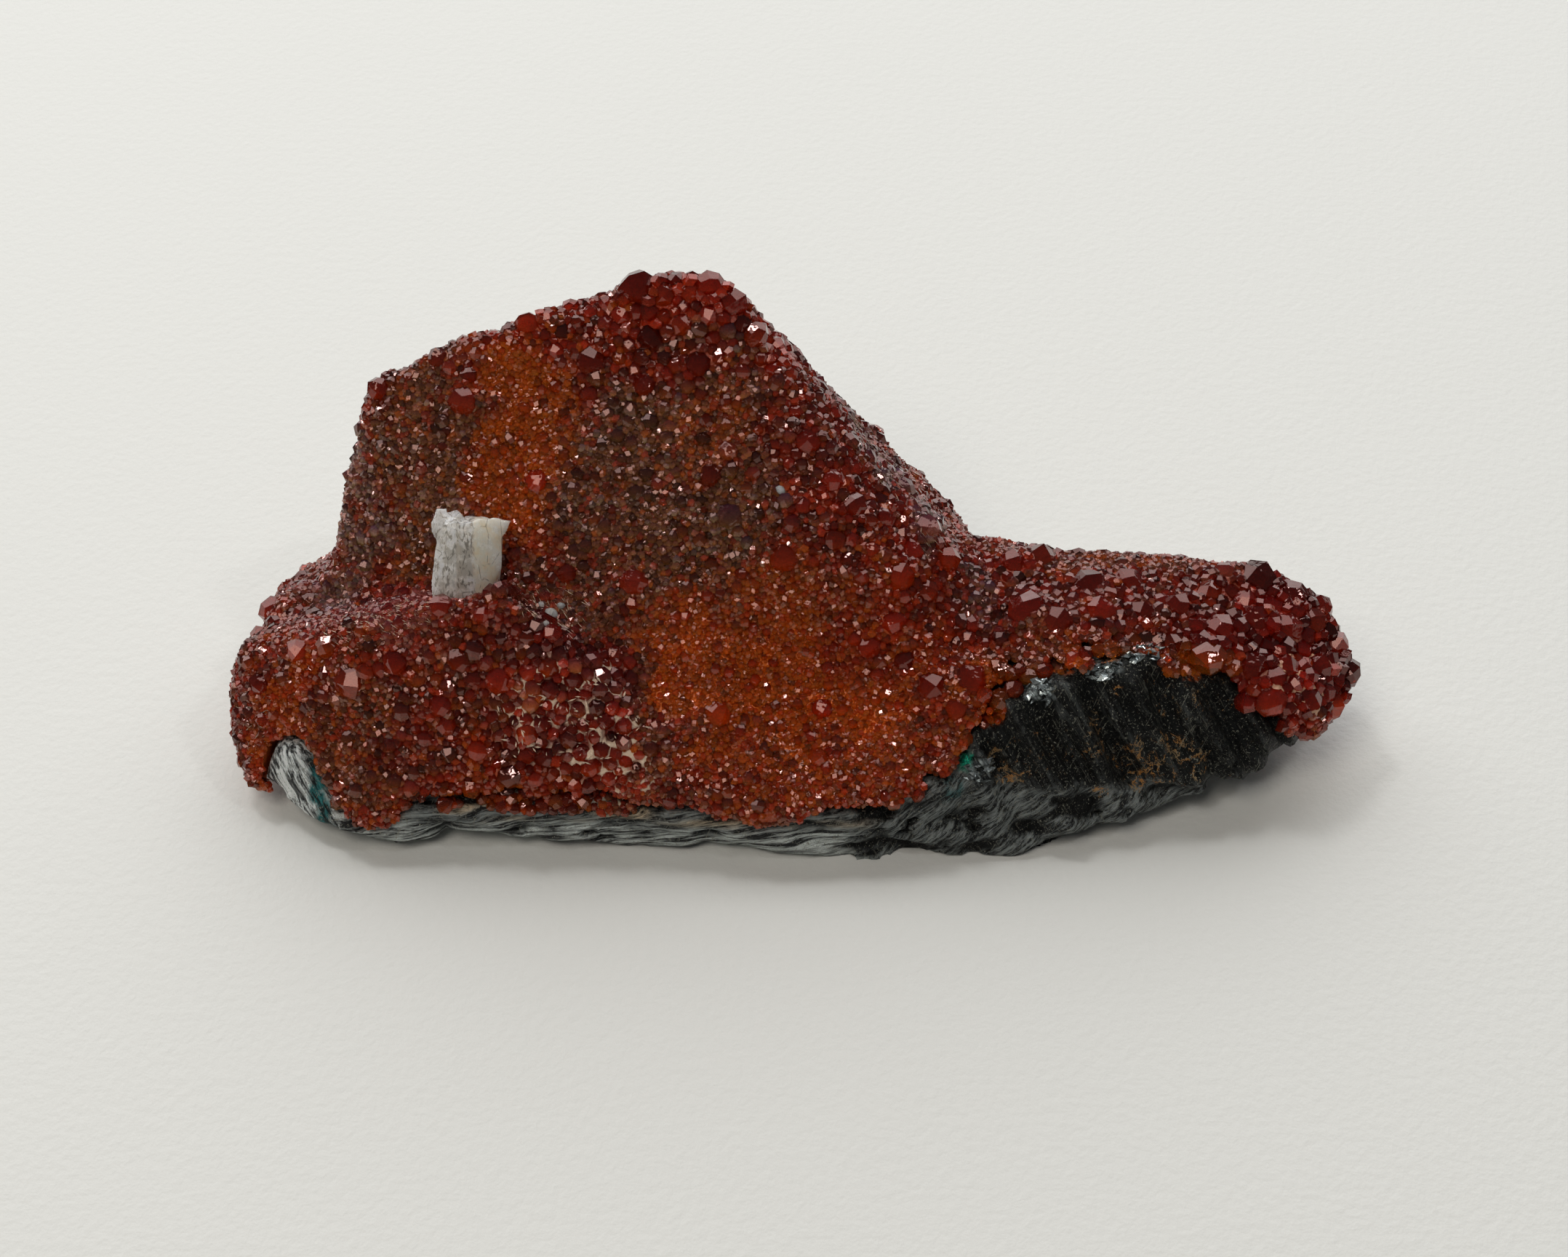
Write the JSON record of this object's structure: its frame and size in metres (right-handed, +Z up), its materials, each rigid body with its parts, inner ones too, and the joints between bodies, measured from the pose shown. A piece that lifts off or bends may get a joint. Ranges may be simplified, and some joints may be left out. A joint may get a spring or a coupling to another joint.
{
  "type": "garnet mineral specimen",
  "caption": "Wedge-shaped hand specimen of dark fibrous ore under a druse of small red and orange garnets, with a white quartz crystal perched on it.",
  "frame": {"origin": "centre of the bounding box in X and Y, at the plane the specimen rests on", "axes": "+X runs along the specimen's length from the low blunt lobe to the knobbly garnet end, +Y from the side with the broken face to the back under the high ridge, +Z up from the resting face"},
  "size_m": [0.0612, 0.0262, 0.0227],
  "materials": {
    "garnet": "druse of small glassy crystals, deep red to orange and brown",
    "ore": "dark grey and fibrous, with a dull metallic lustre",
    "quartz": "cloudy white crystal"
  },
  "bodies": {
    "root": {"garnet_crust": "garnet", "ore_matrix": "ore", "quartz_crystal": "quartz"}
  },
  "joints": []
}
